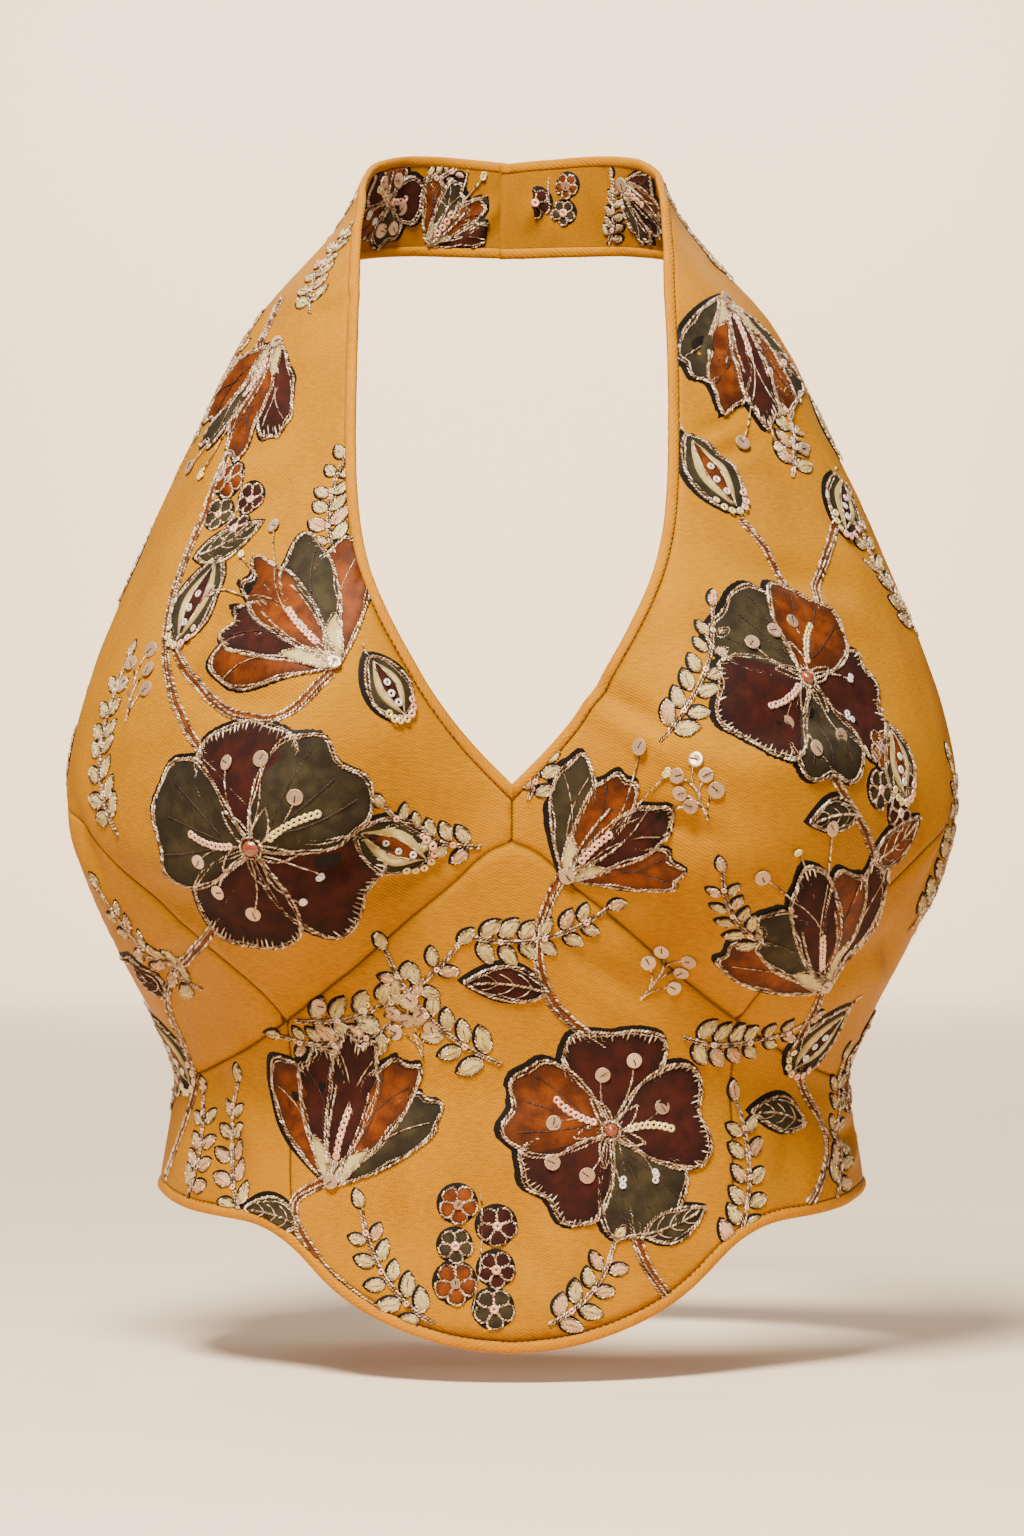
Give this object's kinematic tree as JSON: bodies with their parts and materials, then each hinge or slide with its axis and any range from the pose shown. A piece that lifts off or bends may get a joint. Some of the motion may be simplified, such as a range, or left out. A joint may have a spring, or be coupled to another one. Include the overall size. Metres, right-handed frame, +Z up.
{
  "type": "halter neck top",
  "caption": "Sleeveless halter neck top with a deep V neckline, shaped cups, a band round the nape, an open upper back, a rounded front hem and a lapped back band.",
  "frame": {"origin": "inside face of the neck band at the nape, centre back, half way up the band, where the wearer's neck holds the garment", "axes": "+Z up, the front faces -Y, +X is the wearer's left"},
  "size_m": [0.3528, 0.2536, 0.4789],
  "materials": {
    "embroidered_cloth": "marigold satin twill with applied cloth flowers, couched thread and sequins",
    "binding": "self-coloured satin binding with a line of stitches beside it"
  },
  "bodies": {
    "root": {"bust_left": "embroidered_cloth", "bust_right": "embroidered_cloth", "bust_side_left": "embroidered_cloth", "bust_side_right": "embroidered_cloth", "midriff_centre": "embroidered_cloth", "midriff_side_left": "embroidered_cloth", "midriff_side_right": "embroidered_cloth", "back_left": "embroidered_cloth", "back_right": "embroidered_cloth", "neck_binding_left": "binding", "neck_binding_right": "binding", "armhole_binding_left": "binding", "armhole_binding_right": "binding", "hem_binding": "binding"}
  },
  "joints": []
}
